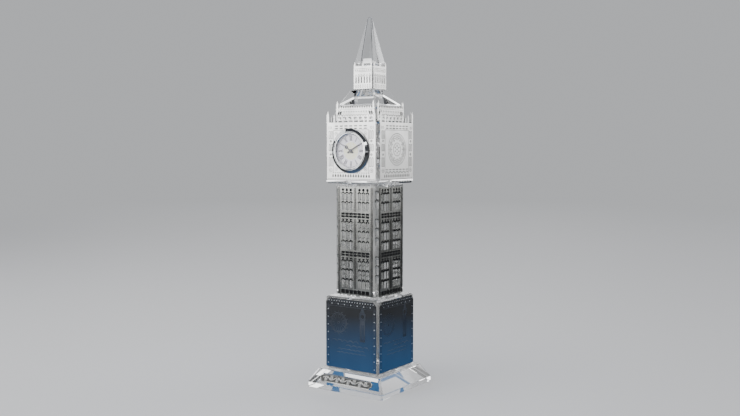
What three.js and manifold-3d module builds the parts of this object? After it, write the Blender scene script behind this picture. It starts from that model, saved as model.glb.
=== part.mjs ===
// A clear crystal clock-tower souvenir: bevelled crystal blocks glued one on another, thin
// etched metal plates on their faces, and a push-in quartz clock in the head.
// Millimetres, +Z up, the clock faces -Y, and the origin is the middle of the underside.
import * as THREE from 'three';
import { ConvexGeometry } from 'three/addons/geometries/ConvexGeometry.js';
import { mergeVertices } from 'three/addons/utils/BufferGeometryUtils.js';
import Module from 'manifold-3d';

const wasm = await Module();
wasm.setup();

// Crystal blocks, bottom to top
const plinthWidth = 75;
const plinthTopWidth = 61.5;
const plinthBand = 4.2;
const plinthHeight = 15.2;
const lowerWidth = 52.6;
const lowerHeight = 60.2;
const shaftWidth = 40.6;
const shaftHeight = 92;
const headWidth = 52.2;
const headHeight = 50;
const tierWidth = 40.4;
const tierHeight = 12.4;
const roofWidth = 37.2;
const roofTopWidth = 24;
const roofBand = 1;
const roofHeight = 12.6;
const lanternWidth = 18.8;
const lanternHeight = 20.9;
const spireTipWidth = 3.5;
const spireTipRound = 1.9;
const spireTipSteps = 3;
const spireTipTurn = 0.85;
const spireTipCut = 0.2;
const spireCornerCut = 1;
const spireHeight = 38.1;
const edgeBevel = 1.2;
const slopeCornerCut = 1.4;

// Glue lines and running gaps, and how far a cutting tool runs past the body it cuts
const glueGap = 0.3;
const partGap = 0.3;
const cutOver = 1;

// Etched plates
const plateThickness = 0.4;
const lowerPlateMargin = 1.3;
const lowerPlateFoot = 1.7;
const lowerPlateHead = 1.3;
const lowerPlateClip = 3.4;
const shaftPlateMargin = 2.8;
const shaftPlateFoot = 1.2;
const shaftPlateHead = 2.4;
const headPlateMargin = 2.1;
const headPlateFoot = 3.2;
const headPlateHead = 0.7;
const tierPlateMargin = 1.5;
const tierPlateFoot = 0.5;
const tierPlateHead = 2;
const lanternPlateMargin = 0.6;
const lanternPlateFoot = 0.9;
const lanternPlateHead = 1.6;

// Openings in the plates
const storeys = 3;
const windowsPerSide = 3;
const shaftStrip = 3.1;
const shaftMullion = 4.6;
const windowBar = 1.2;
const storeyBand = 7.4;
const roundLight = 2;
const roundLightSides = 6;
const roundLightDrop = 2.4;
const bandSlots = 7;
const bandSlotHeight = 2.4;

const cornerFinialHeight = 9.2;
const cornerFinialWidth = 1.7;
const cornerFinialInset = 1.1;
const innerFinialHeight = 6.8;
const innerFinialWidth = 1.3;
const innerFinialInset = 7.4;
const headPostHeight = 4.4;
const headPostWidth = 1;
const headPostCount = 6;
const headPostPitch = 5.2;
const rosetteRadius = 12.8;
const rosettePetals = 12;
const rosettePetalSides = 6;
const rosetteEyeSides = 12;
const rosetteEyeShare = 0.24;
const rosetteReachShare = 0.62;
const rosettePetalShare = 0.12;
const rosetteRise = 1.2;
const louvreCount = 7;
const louvreHeight = 4;
const louvreFoot = 2.6;
const headBorder = 4.4;

const tierPostHeight = 6.1;
const tierPostWidth = 1.3;
const tierPostInset = 0.9;
const merlonCount = 14;
const merlonHeight = 1.9;
const merlonMargin = 2.5;
const arcadeMargin = 1;
const arcadeCount = 7;
const arcadeHeight = 3.4;
const arcadeFoot = 1.6;

const lanternPostHeight = 3.4;
const lanternPostWidth = 1.1;
const lanternPostInset = 0.7;
const lanternKnobHeight = 3;
const lanternKnobWidth = 1.4;
const lancetCount = 6;
const lancetPitch = 2.75;
const lancetWidth = 1.2;
const lancetHeight = 7.2;
const lancetFoot = 4.2;

// Name plate on the front slope
const namePlateLength = 51.6;
const namePlateHeight = 7;
const namePlateThickness = 1;
const namePlateShift = 0.8;
const namePlateRise = -0.6;
const namePlateEndShare = 0.62;

// Clock insert, measured from its axis and from the face of the head block
const clockHeight = 26.4;
const bezelRadius = 18;
const bezelRise = 2.6;
const bezelEdge = 0.7;
const bezelFlange = 1.5;
const bezelEase = 0.5;
const shoulderInset = 1.6;
const shoulderDrop = 0.5;
const grooveInset = 2;
const grooveDrop = 0.6;
const crownInset = 2.3;
const sightRadius = 13.5;
const sightEase = 0.7;
const sightDrop = 0.4;
const lipWidth = 1.6;
const lipThickness = 0.8;
const bezelWall = 0.6;
const lensThickness = 0.9;
const caseWall = 0.7;
const caseDepth = 13.2;
const gasketWall = 0.6;
const gasketRib = 0.3;
const gasketRibs = 3;
const gasketInset = 1.2;
const gasketLength = 8;
const dialThickness = 0.4;
const handThickness = 0.25;
const minuteHandLength = 12.4;
const minuteHandWidth = 0.8;
const minuteHandTail = 2.4;
const hourHandLength = 8.6;
const hourHandWidth = 0.9;
const hourHandTail = 2;
const handTaperFrom = 0.9;
const moonShare = 0.66;
const moonRadius = 1.5;
const moonHoleRadius = 0.8;
const minuteHandHour = 2;
const hourHandHour = 10 + 1 / 6;
const arborRadius = 0.4;
const arborReach = 1.4;
const hourTubeWall = 0.5;
const hourTubeReach = 2.2;
const hourTubeSides = 20;
const movementWidth = 19;
const movementDepth = 8;
const movementCornerShare = 0.3;
const batteryRadius = 3.4;
const batteryThickness = 2.6;
const batteryShift = 5.4;
const backCoverThickness = 1;
const knobRadius = 3.4;
const knobDepth = 2.2;
const knobShaftRadius = 1.2;
const knobShaftReach = 1.6;
const knobFlutes = 16;
const knobFluteDepth = 0.35;
const boreClearance = 1.2;
const roundSides = 32;

// Looks
const crystalLook = { color: 0xeef3f6, roughness: 0.03, metalness: 0, transparent: true, opacity: 0.45 };
const mirrorLook = { color: 0x4c5359, roughness: 0.12, metalness: 1 };
const darkPlateLook = { color: 0x8e9296, roughness: 0.3, metalness: 1 };
const brightPlateLook = { color: 0xe4e6e8, roughness: 0.22, metalness: 1 };
const pewterLook = { color: 0xa9abad, roughness: 0.4, metalness: 1 };
const chromeLook = { color: 0xd9dcdf, roughness: 0.06, metalness: 1 };
const rubberLook = { color: 0x2a2a2c, roughness: 0.85, metalness: 0 };
const plasticLook = { color: 0x2f3236, roughness: 0.5, metalness: 0 };
const dialLook = { color: 0xe9e6f2, roughness: 0.6, metalness: 0 };
const handLook = { color: 0x22242c, roughness: 0.35, metalness: 0.6 };
const cellLook = { color: 0xb9bcc0, roughness: 0.3, metalness: 1 };

const quarter = Math.PI / 2;
const sides = ['front', 'right', 'back', 'left'];

// ---------- geometry helpers ----------

const piece = (name, geometry, look) => {
  const mesh = new THREE.Mesh(geometry, new THREE.MeshStandardMaterial(look));
  mesh.name = name;
  return mesh;
};

const at = (object, x, y, z) => {
  object.position.set(x, y, z);
  return object;
};

// Keeps only the positions, so that shared corners merge into one closed skin.
const bareSkin = (geometry) => {
  const bare = new THREE.BufferGeometry();
  bare.setAttribute('position', geometry.getAttribute('position').clone());
  if (geometry.index) bare.setIndex(geometry.index.clone());
  return mergeVertices(bare, 1e-4);
};

// Corner triples that still span an area once the corners are merged.
const realTriangles = (index) => {
  const kept = [];
  for (let i = 0; i < index.count; i += 3) {
    const [a, b, c] = [index.getX(i), index.getX(i + 1), index.getX(i + 2)];
    if (a !== b && b !== c && c !== a) kept.push([a, b, c]);
  }
  return kept;
};

const signedVolume = (position, triangles) => {
  const [a, b, c] = [new THREE.Vector3(), new THREE.Vector3(), new THREE.Vector3()];
  return triangles.reduce((sum, [i, j, k]) => {
    a.fromBufferAttribute(position, i);
    b.fromBufferAttribute(position, j);
    c.fromBufferAttribute(position, k);
    return sum + a.dot(b.cross(c));
  }, 0);
};

// A closed geometry with no slivers of zero area and every face pointing out.
const closed = (geometry) => {
  const skin = bareSkin(geometry);
  const triangles = realTriangles(skin.index);
  const inward = signedVolume(skin.getAttribute('position'), triangles) < 0;
  skin.setIndex(triangles.flatMap(([a, b, c]) => (inward ? [a, c, b] : [a, b, c])));
  skin.computeVertexNormals();
  return skin;
};

const toSolid = (geometry) => {
  const skin = closed(geometry);
  return new wasm.Manifold(new wasm.Mesh({
    numProp: 3,
    vertProperties: new Float32Array(skin.getAttribute('position').array),
    triVerts: new Uint32Array(skin.index.array),
  }));
};

const fromSolid = (solid) => {
  const mesh = solid.getMesh();
  const geometry = new THREE.BufferGeometry();
  geometry.setAttribute('position', new THREE.BufferAttribute(mesh.vertProperties, 3));
  geometry.setIndex(new THREE.BufferAttribute(mesh.triVerts, 1));
  geometry.computeVertexNormals();
  return geometry;
};

const cutFrom = (body, ...tools) => fromSolid(
  tools.reduce((solid, tool) => solid.subtract(toSolid(tool)), toSolid(body)));

const joined = (...bodies) => fromSolid(
  bodies.slice(1).reduce((solid, body) => solid.add(toSolid(body)), toSolid(bodies[0])));

// Turned about +Z from (radius, height) points; the last point returns to the first or the axis.
const turned = (profile, steps = roundSides) => {
  const points = profile.map(([radius, height]) => new THREE.Vector2(radius, height));
  return closed(new THREE.LatheGeometry(points, steps).rotateX(quarter));
};

const ring = (inner, outer, low, high) => turned(
  [[inner, low], [outer, low], [outer, high], [inner, high], [inner, low]]);

const disc = (radius, low, high) => turned([[0, low], [radius, low], [radius, high], [0, high]]);

const extruded = (shape, depth, curveSegments = 6) => closed(
  new THREE.ExtrudeGeometry(shape, { depth, bevelEnabled: false, curveSegments }));

// A flat plate with every opening cut right through it.
const pierced = ({ outline, openings }, depth) => cutFrom(extruded(outline, depth), ...openings.map(
  (opening) => extruded(opening, depth + 2 * cutOver).translate(0, 0, -cutOver)));

// ---------- crystal ----------

// One level of a block: a square with its corners cut off.
const cutSquare = ({ height, width, cut }) => {
  const half = width / 2;
  const inner = half - cut;
  return [[half, inner], [inner, half]].flatMap(([x, y]) => [
    [x, y], [-x, y], [x, -y], [-x, -y]]).map(([x, y]) => new THREE.Vector3(x, y, height));
};

const crystalBlock = (levels) => closed(new ConvexGeometry(levels.flatMap(cutSquare)));

// A straight block whose edges and corners are all bevelled.
const bevelledBlock = (width, height, bevel = edgeBevel) => crystalBlock([
  { height: 0, width: width - 2 * bevel, cut: bevel },
  { height: bevel, width, cut: bevel },
  { height: height - bevel, width, cut: bevel },
  { height, width: width - 2 * bevel, cut: bevel },
]);

const plinthShape = () => crystalBlock([
  { height: 0, width: plinthWidth, cut: slopeCornerCut },
  { height: plinthBand, width: plinthWidth, cut: slopeCornerCut },
  { height: plinthHeight, width: plinthTopWidth, cut: slopeCornerCut },
]);

const roofShape = () => crystalBlock([
  { height: 0, width: roofWidth, cut: edgeBevel },
  { height: roofBand, width: roofWidth, cut: edgeBevel },
  { height: roofHeight, width: roofTopWidth, cut: edgeBevel },
]);

// The spire narrows to a small top that is rounded off in steps.
const spireShape = () => {
  const lastTurn = quarter * spireTipTurn;
  const tip = Array.from({ length: spireTipSteps + 1 }, (_, step) => {
    const turn = (lastTurn * step) / spireTipSteps;
    const width = spireTipWidth * Math.cos(turn);
    const drop = spireTipRound * (1 - Math.sin(turn) / Math.sin(lastTurn));
    return { height: spireHeight - drop, width, cut: width * spireTipCut };
  });
  return crystalBlock([{ height: 0, width: lanternWidth, cut: spireCornerCut }, ...tip]);
};

// ---------- etched plates, drawn in x across and y up ----------

const rectangle = (x0, y0, x1, y1) => {
  const path = new THREE.Shape();
  path.moveTo(x0, y0);
  path.lineTo(x1, y0);
  path.lineTo(x1, y1);
  path.lineTo(x0, y1);
  path.closePath();
  return path;
};

// A window with a pointed head.
const lancet = (x, foot, width, height) => {
  const path = new THREE.Shape();
  path.moveTo(x - width / 2, foot);
  path.lineTo(x + width / 2, foot);
  path.lineTo(x + width / 2, foot + height - width / 2);
  path.lineTo(x, foot + height);
  path.lineTo(x - width / 2, foot + height - width / 2);
  path.closePath();
  return path;
};

const circle = (x, y, radius, steps) => {
  const path = new THREE.Shape();
  for (let i = 0; i < steps; i += 1) {
    const angle = (2 * Math.PI * i) / steps;
    const [px, py] = [x + radius * Math.cos(angle), y + radius * Math.sin(angle)];
    if (i === 0) path.moveTo(px, py);
    else path.lineTo(px, py);
  }
  path.closePath();
  return path;
};

// The outline of a plate whose top edge carries pointed posts.
const crestedPlate = (halfWidth, bottom, top, posts) => {
  const shape = new THREE.Shape();
  shape.moveTo(-halfWidth, bottom);
  shape.lineTo(halfWidth, bottom);
  shape.lineTo(halfWidth, top);
  [...posts].sort((a, b) => b.x - a.x).forEach(({ x, width, height }) => {
    const shoulder = top + height - Math.min(width, height) / 2;
    shape.lineTo(x + width / 2, top);
    shape.lineTo(x + width / 2, shoulder);
    shape.lineTo(x, top + height);
    shape.lineTo(x - width / 2, shoulder);
    shape.lineTo(x - width / 2, top);
  });
  shape.lineTo(-halfWidth, top);
  shape.closePath();
  return shape;
};

const mirrored = (x, more) => [{ x, ...more }, { x: -x, ...more }];

const rowAt = (count, pitch) => Array.from({ length: count }, (_, i) => (i - (count - 1) / 2) * pitch);

const lowerPlateShape = () => {
  const half = lowerWidth / 2 - lowerPlateMargin;
  const top = lowerHeight - lowerPlateHead;
  const shape = new THREE.Shape();
  shape.moveTo(-half, lowerPlateFoot);
  shape.lineTo(half, lowerPlateFoot);
  shape.lineTo(half, top - lowerPlateClip);
  shape.lineTo(half - lowerPlateClip, top);
  shape.lineTo(lowerPlateClip - half, top);
  shape.lineTo(-half, top - lowerPlateClip);
  shape.closePath();
  return { outline: shape, openings: [] };
};

// Three storeys of lancets in two groups of three, with slotted bands between them.
const shaftPlateShape = () => {
  const half = shaftWidth / 2 - shaftPlateMargin;
  const top = shaftHeight - shaftPlateHead;
  const openings = [];
  const groupWidth = half - shaftStrip - shaftMullion / 2;
  const windowPitch = (groupWidth + windowBar) / windowsPerSide;
  const windowWidth = windowPitch - windowBar;
  const storeyPitch = (top - shaftPlateFoot) / storeys;
  const lightHeight = storeyPitch - storeyBand;
  for (let storey = 0; storey < storeys; storey += 1) {
    const foot = shaftPlateFoot + storey * storeyPitch;
    const slotFoot = foot + (storeyBand - bandSlotHeight) / 2;
    const slotPitch = (2 * half - windowBar) / bandSlots;
    const slotWidth = slotPitch - windowBar;
    openings.push(...rowAt(bandSlots, slotPitch).map((x) => rectangle(
      x - slotWidth / 2, slotFoot, x + slotWidth / 2, slotFoot + bandSlotHeight)));
    for (let column = 0; column < windowsPerSide; column += 1) {
      const across = shaftMullion / 2 + windowWidth / 2 + column * windowPitch;
      [across, -across].forEach((x) => {
        const roundAbove = storey === storeys - 1;
        const height = lightHeight - (roundAbove ? 2 * roundLightDrop : 0);
        openings.push(lancet(x, foot + storeyBand, windowWidth, height));
        if (roundAbove) openings.push(circle(x, top - roundLightDrop, roundLight / 2, roundLightSides));
      });
    }
  }
  return { outline: crestedPlate(half, shaftPlateFoot, top, []), openings };
};

const headPosts = () => {
  const half = headWidth / 2 - headPlateMargin;
  return [
    ...mirrored(half - cornerFinialInset, { width: cornerFinialWidth, height: cornerFinialHeight }),
    ...mirrored(half - innerFinialInset, { width: innerFinialWidth, height: innerFinialHeight }),
    ...rowAt(headPostCount, headPostPitch).map(
      (x) => ({ x, width: headPostWidth, height: headPostHeight })),
  ];
};

const headPlateOutline = () => crestedPlate(
  headWidth / 2 - headPlateMargin, headPlateFoot, headHeight - headPlateHead, headPosts());

const skirtRadius = sightRadius + lipWidth;
const caseRadius = skirtRadius + partGap + caseWall;
const boreRadius = caseRadius + gasketWall + 2 * partGap;

const frontHeadPlateShape = () => (
  { outline: headPlateOutline(), openings: [circle(0, clockHeight, boreRadius, roundSides)] });

// A rosette: an eye, a ring of round petals and a ring of short arcs, over a row of louvres.
const rosetteHeadPlateShape = () => {
  const middle = clockHeight + rosetteRise;
  const openings = [circle(0, middle, rosetteRadius * rosetteEyeShare, rosetteEyeSides)];
  for (let i = 0; i < rosettePetals; i += 1) {
    const angle = (2 * Math.PI * i) / rosettePetals;
    const reach = rosetteRadius * rosetteReachShare;
    const [x, y] = [reach * Math.cos(angle), middle + reach * Math.sin(angle)];
    openings.push(circle(x, y, rosetteRadius * rosettePetalShare, rosettePetalSides));
  }
  const pitch = (headWidth - 2 * headPlateMargin - 2 * headBorder) / louvreCount;
  openings.push(...rowAt(louvreCount, pitch).map(
    (x) => lancet(x, headPlateFoot + louvreFoot, pitch / 3, louvreHeight)));
  return { outline: headPlateOutline(), openings };
};

const tierPlateShape = () => {
  const half = tierWidth / 2 - tierPlateMargin;
  const top = tierHeight - tierPlateHead;
  const merlonPitch = (2 * (half - merlonMargin)) / merlonCount;
  const merlons = rowAt(merlonCount, merlonPitch).map((x) => (
    { x, width: merlonPitch / 2, height: merlonHeight }));
  const corners = mirrored(half - tierPostInset, { width: tierPostWidth, height: tierPostHeight });
  const arcadePitch = (2 * (half - arcadeMargin)) / arcadeCount;
  return {
    outline: crestedPlate(half, tierPlateFoot, top, [...merlons, ...corners]),
    openings: rowAt(arcadeCount, arcadePitch).map(
      (x) => lancet(x, tierPlateFoot + arcadeFoot, arcadePitch / 2, arcadeHeight)),
  };
};

const lanternPlateShape = () => {
  const half = lanternWidth / 2 - lanternPlateMargin;
  const top = lanternHeight - lanternPlateHead;
  const posts = [
    ...mirrored(half - lanternPostInset, { width: lanternPostWidth, height: lanternPostHeight }),
    { x: 0, width: lanternKnobWidth, height: lanternKnobHeight },
  ];
  return {
    outline: crestedPlate(half, lanternPlateFoot, top, posts),
    openings: rowAt(lancetCount, lancetPitch).map(
      (x) => lancet(x, lanternPlateFoot + lancetFoot, lancetWidth, lancetHeight)),
  };
};

// Four plates glued on the four sides of a block, each in its own turned group.
const platesAround = (names, shapeOf, blockWidth, level, look) => sides.map((side, turn) => {
  const plate = piece(`${names}_${side}`, pierced(shapeOf(side), plateThickness), look);
  plate.rotation.x = quarter;
  plate.position.y = -(blockWidth / 2 + glueGap);
  const group = at(new THREE.Group(), 0, 0, level);
  group.rotation.z = turn * quarter;
  group.add(plate);
  return group;
});

// ---------- name plate ----------

// A long bar whose ends are a half round between two shoulders.
const namePlateShape = () => {
  const half = namePlateLength / 2;
  const rise = namePlateHeight / 2;
  const end = rise * namePlateEndShare;
  const shape = new THREE.Shape();
  shape.moveTo(-half + end, -rise);
  shape.lineTo(half - end, -rise);
  shape.lineTo(half - end, -end);
  shape.absarc(half - end, 0, end, -quarter, quarter, false);
  shape.lineTo(half - end, rise);
  shape.lineTo(-half + end, rise);
  shape.lineTo(-half + end, end);
  shape.absarc(-half + end, 0, end, quarter, 3 * quarter, false);
  shape.closePath();
  return shape;
};

const namePlate = () => {
  const plate = piece('name_plate', extruded(namePlateShape(), namePlateThickness, 8), pewterLook);
  const run = (plinthWidth - plinthTopWidth) / 2;
  const rise = plinthHeight - plinthBand;
  const slope = Math.atan2(rise, run);
  const outward = new THREE.Vector3(0, -Math.sin(slope), Math.cos(slope));
  const upward = new THREE.Vector3(0, Math.cos(slope), Math.sin(slope));
  const middle = new THREE.Vector3(namePlateShift, run / 2 - plinthWidth / 2, plinthBand + rise / 2);
  plate.rotation.x = slope;
  plate.position.copy(middle).addScaledVector(outward, glueGap).addScaledVector(upward, namePlateRise);
  return plate;
};

// ---------- clock insert: x across, y up, z out of the head's front face ----------

const flangeBack = glueGap + plateThickness + partGap;
const flangeFront = flangeBack + bezelRise;
const lipBack = flangeFront - lipThickness;
const lensBack = lipBack - partGap - lensThickness;
const minuteLevel = lensBack - partGap - handThickness;
const hourLevel = minuteLevel - partGap - handThickness;
const dialFace = hourLevel - partGap;
const dialBack = dialFace - dialThickness;
const movementFront = dialBack - partGap;
const movementBack = movementFront - movementDepth;
const caseFront = flangeBack - partGap;
const caseBack = caseFront - caseDepth;
const skirtBack = dialFace + partGap;
const hourTubeInner = arborRadius + partGap;
const hourTubeOuter = hourTubeInner + hourTubeWall;
const dialHole = hourTubeOuter + partGap;
const hourTubeBack = movementFront - hourTubeReach;
const arborBack = hourTubeBack - arborReach;
const knobShaftFront = movementBack + knobShaftReach;
const knobShaftBack = caseBack - partGap;
const boreDepth = knobDepth - caseBack + partGap + boreClearance;

const bezel = () => piece('clock_bezel', turned([
  [skirtRadius, skirtBack],
  [skirtRadius, flangeBack],
  [bezelRadius, flangeBack],
  [bezelRadius, flangeBack + bezelEdge],
  [bezelRadius - bezelEase, flangeBack + bezelFlange],
  [bezelRadius - shoulderInset, flangeFront - shoulderDrop],
  [bezelRadius - grooveInset, flangeFront - grooveDrop],
  [bezelRadius - crownInset, flangeFront],
  [sightRadius + sightEase, flangeFront],
  [sightRadius, flangeFront - sightDrop],
  [sightRadius, lipBack],
  [skirtRadius - bezelWall, lipBack],
  [skirtRadius - bezelWall, skirtBack],
  [skirtRadius, skirtBack],
]), chromeLook);

const clockCase = () => piece(
  'clock_case', ring(caseRadius - caseWall, caseRadius, caseBack, caseFront), plasticLook);

// The rubber ring has ribs that grip the bore.
const gasket = () => {
  const inner = caseRadius + partGap;
  const outer = inner + gasketWall;
  const front = -gasketInset;
  const steps = 2 * gasketRibs;
  const profile = [[inner, front - gasketLength], [inner, front]];
  for (let i = 0; i <= steps; i += 1) {
    profile.push([i % 2 === 1 ? outer : outer - gasketRib, front - (i * gasketLength) / steps]);
  }
  profile.push(profile[0]);
  return piece('clock_gasket', turned(profile), rubberLook);
};

const lens = () => {
  const radius = skirtRadius - bezelWall - partGap;
  return piece('clock_lens', disc(radius, lensBack, lensBack + lensThickness), crystalLook);
};

const dial = () => piece(
  'clock_dial', ring(dialHole, skirtRadius, dialBack, dialFace), dialLook);

// A tapering blade with a short tail, pointing along +Y before it is turned to its hour.
const bladeShape = (length, width, tail) => {
  const shape = new THREE.Shape();
  shape.moveTo(-width / 2, -tail);
  shape.lineTo(width / 2, -tail);
  shape.lineTo(width / 3, length * handTaperFrom);
  shape.lineTo(0, length);
  shape.lineTo(-width / 3, length * handTaperFrom);
  shape.closePath();
  return shape;
};

const handTurned = (geometry, hours) => geometry.rotateZ((-2 * Math.PI * hours) / 12);

const minuteHand = () => {
  const blade = extruded(
    bladeShape(minuteHandLength, minuteHandWidth, minuteHandTail), handThickness);
  const boss = disc(hourTubeOuter, 0, handThickness);
  const arbor = disc(arborRadius, arborBack - minuteLevel, handThickness / 2);
  const hand = handTurned(joined(blade, boss, arbor), minuteHandHour);
  return at(piece('minute_hand', hand, handLook), 0, 0, minuteLevel);
};

const hourHand = () => {
  const moonAt = hourHandLength * moonShare;
  const blade = extruded(bladeShape(hourHandLength, hourHandWidth, hourHandTail), handThickness);
  const moon = disc(moonRadius, 0, handThickness).translate(0, moonAt, 0);
  const moonHole = disc(moonHoleRadius, -cutOver, cutOver).translate(0, moonAt, 0);
  const tube = turned([
    [0, hourTubeBack - hourLevel], [hourTubeOuter, hourTubeBack - hourLevel],
    [hourTubeOuter, handThickness], [0, handThickness]], hourTubeSides);
  const hole = disc(hourTubeInner, hourTubeBack - hourLevel - cutOver, cutOver);
  const hand = handTurned(cutFrom(joined(blade, moon, tube), moonHole, hole), hourHandHour);
  return at(piece('hour_hand', hand, handLook), 0, 0, hourLevel);
};

const movement = () => {
  const half = movementWidth / 2;
  const corner = half * movementCornerShare;
  const shape = new THREE.Shape();
  shape.moveTo(-half + corner, -half);
  shape.lineTo(half - corner, -half);
  shape.lineTo(half, -half + corner);
  shape.lineTo(half, half - corner);
  shape.lineTo(half - corner, half);
  shape.lineTo(-half + corner, half);
  shape.lineTo(-half, half - corner);
  shape.lineTo(-half, -half + corner);
  shape.closePath();
  const body = extruded(shape, movementDepth).translate(0, 0, movementBack);
  const tubeWell = disc(dialHole, hourTubeBack - partGap, movementFront + cutOver);
  const arborWell = disc(arborRadius + partGap, arborBack - partGap, movementFront + cutOver);
  const knobWell = disc(
    knobShaftRadius + partGap, movementBack - cutOver, knobShaftFront + partGap);
  const cellFront = movementBack + batteryThickness;
  const cellWell = disc(batteryRadius + partGap, movementBack - cutOver, cellFront + partGap)
    .translate(batteryShift, 0, 0);
  return piece('clock_movement', cutFrom(body, tubeWell, arborWell, knobWell, cellWell), plasticLook);
};

const batteryCell = () => at(
  piece('battery_cell', disc(batteryRadius, movementBack, movementBack + batteryThickness), cellLook),
  batteryShift, 0, 0);

const backCover = () => {
  const radius = caseRadius - caseWall - partGap;
  return piece('clock_back_cover',
    ring(knobShaftRadius + partGap, radius, caseBack, caseBack + backCoverThickness), plasticLook);
};

// A fluted knob on the setting shaft, outside the back cover.
const settingKnob = () => {
  const head = new THREE.Shape();
  for (let i = 0; i < knobFlutes * 2; i += 1) {
    const angle = (Math.PI * i) / knobFlutes;
    const radius = i % 2 === 0 ? knobRadius : knobRadius - knobFluteDepth;
    const [x, y] = [radius * Math.cos(angle), radius * Math.sin(angle)];
    if (i === 0) head.moveTo(x, y);
    else head.lineTo(x, y);
  }
  head.closePath();
  const grip = extruded(head, knobDepth).translate(0, 0, knobShaftBack - knobDepth);
  const shaft = disc(knobShaftRadius, knobShaftBack - knobDepth / 2, knobShaftFront);
  return piece('setting_knob', joined(grip, shaft), rubberLook);
};

const clockInsert = (level) => {
  const clock = at(new THREE.Group(), 0, -headWidth / 2, level + clockHeight);
  clock.rotation.x = quarter;
  clock.add(
    bezel(), clockCase(), gasket(), lens(), dial(), minuteHand(), hourHand(),
    movement(), batteryCell(), backCover(), settingKnob());
  return clock;
};

// The head block is bored from its front face for the clock.
const headShape = () => {
  const bore = disc(boreRadius, -boreDepth, cutOver).rotateX(quarter)
    .translate(0, -headWidth / 2, clockHeight);
  return cutFrom(bevelledBlock(headWidth, headHeight), bore);
};

// ---------- assembly ----------

const lowerLevel = plinthHeight + glueGap;
const shaftLevel = lowerLevel + lowerHeight + glueGap;
const headLevel = shaftLevel + shaftHeight + glueGap;
const tierLevel = headLevel + headHeight + glueGap;
const roofLevel = tierLevel + tierHeight + glueGap;
const lanternLevel = roofLevel + roofHeight + glueGap;
const spireLevel = lanternLevel + lanternHeight + glueGap;

const headPlateFor = (side) => (side === 'front' ? frontHeadPlateShape() : rosetteHeadPlateShape());

const group = new THREE.Group();
group.add(
  piece('plinth', plinthShape(), crystalLook),
  namePlate(),
  at(piece('lower_block', bevelledBlock(lowerWidth, lowerHeight), crystalLook), 0, 0, lowerLevel),
  ...platesAround('mirror_plate', lowerPlateShape, lowerWidth, lowerLevel, mirrorLook),
  at(piece('shaft_block', bevelledBlock(shaftWidth, shaftHeight), crystalLook), 0, 0, shaftLevel),
  ...platesAround('shaft_plate', shaftPlateShape, shaftWidth, shaftLevel, darkPlateLook),
  at(piece('head_block', headShape(), crystalLook), 0, 0, headLevel),
  ...platesAround('head_plate', headPlateFor, headWidth, headLevel, brightPlateLook),
  at(piece('tier_block', bevelledBlock(tierWidth, tierHeight), crystalLook), 0, 0, tierLevel),
  ...platesAround('tier_plate', tierPlateShape, tierWidth, tierLevel, brightPlateLook),
  at(piece('roof', roofShape(), crystalLook), 0, 0, roofLevel),
  at(piece('lantern_block', bevelledBlock(lanternWidth, lanternHeight, edgeBevel / 2), crystalLook),
    0, 0, lanternLevel),
  ...platesAround('lantern_plate', lanternPlateShape, lanternWidth, lanternLevel, brightPlateLook),
  at(piece('spire', spireShape(), crystalLook), 0, 0, spireLevel),
  clockInsert(headLevel),
);

export default group;
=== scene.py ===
import math
from functools import partialmethod

import bmesh
import bpy
from mathutils import Matrix, Vector


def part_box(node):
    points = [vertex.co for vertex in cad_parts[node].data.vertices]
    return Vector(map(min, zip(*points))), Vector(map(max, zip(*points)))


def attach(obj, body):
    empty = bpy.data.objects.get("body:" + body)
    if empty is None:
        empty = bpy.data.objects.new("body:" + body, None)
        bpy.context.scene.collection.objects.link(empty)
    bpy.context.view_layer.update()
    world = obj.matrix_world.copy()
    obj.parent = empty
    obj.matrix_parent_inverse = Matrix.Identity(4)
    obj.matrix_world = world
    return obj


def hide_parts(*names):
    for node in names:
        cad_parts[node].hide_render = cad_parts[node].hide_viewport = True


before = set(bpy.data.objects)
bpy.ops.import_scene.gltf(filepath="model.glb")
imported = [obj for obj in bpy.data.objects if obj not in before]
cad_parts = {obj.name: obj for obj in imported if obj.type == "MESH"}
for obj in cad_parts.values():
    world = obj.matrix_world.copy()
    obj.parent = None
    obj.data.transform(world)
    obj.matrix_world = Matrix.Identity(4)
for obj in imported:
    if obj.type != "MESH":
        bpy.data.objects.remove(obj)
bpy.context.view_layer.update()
mm = 0.001
weldReach = 0.0000005
fullTurn, quarterTurn = 2 * math.pi, math.pi / 2
sideNames = ["front", "right", "back", "left"]
print("frame loaded:", len(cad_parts), "nodes")


# a node's output that plain arithmetic can be written with
class Wire:
    def __init__(self, tree, socket):
        self.tree, self.socket = tree, socket

    def calc(self, operation, second=0.0):
        return shade(self.tree, "Math", {0: self, 1: second}, operation=operation)

    def calcFrom(self, operation, first):
        return shade(self.tree, "Math", {0: first, 1: self}, operation=operation)

    __add__ = partialmethod(calc, "ADD")
    __sub__ = partialmethod(calc, "SUBTRACT")
    __rsub__ = partialmethod(calcFrom, "SUBTRACT")
    __mul__ = partialmethod(calc, "MULTIPLY")
    __truediv__ = partialmethod(calc, "DIVIDE")
    __rtruediv__ = partialmethod(calcFrom, "DIVIDE")


def setInputs(node, values):
    for key, value in values.items():
        if isinstance(value, Wire):
            value.tree.links.new(value.socket, node.inputs[key])
        else:
            node.inputs[key].default_value = value


def addNode(tree, kind, inputs=None, **settings):
    node = tree.nodes.new(kind)
    for key, value in settings.items():
        setattr(node, key, value)
    setInputs(node, inputs or {})
    return node


def geo(tree, kind, inputs=None, out=0, **settings):
    return Wire(tree, addNode(tree, "GeometryNode" + kind, inputs, **settings).outputs[out])


def shade(tree, kind, inputs=None, out=0, **settings):
    return Wire(tree, addNode(tree, "ShaderNode" + kind, inputs, **settings).outputs[out])


def wiresOf(tree, node):
    return {socket.name: Wire(tree, socket) for socket in node.outputs if socket.name}


def setResult(tree, result, socket=0):
    tree.links.new(result.socket, tree.nodes["Group Output"].inputs[socket])
    return tree


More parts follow.
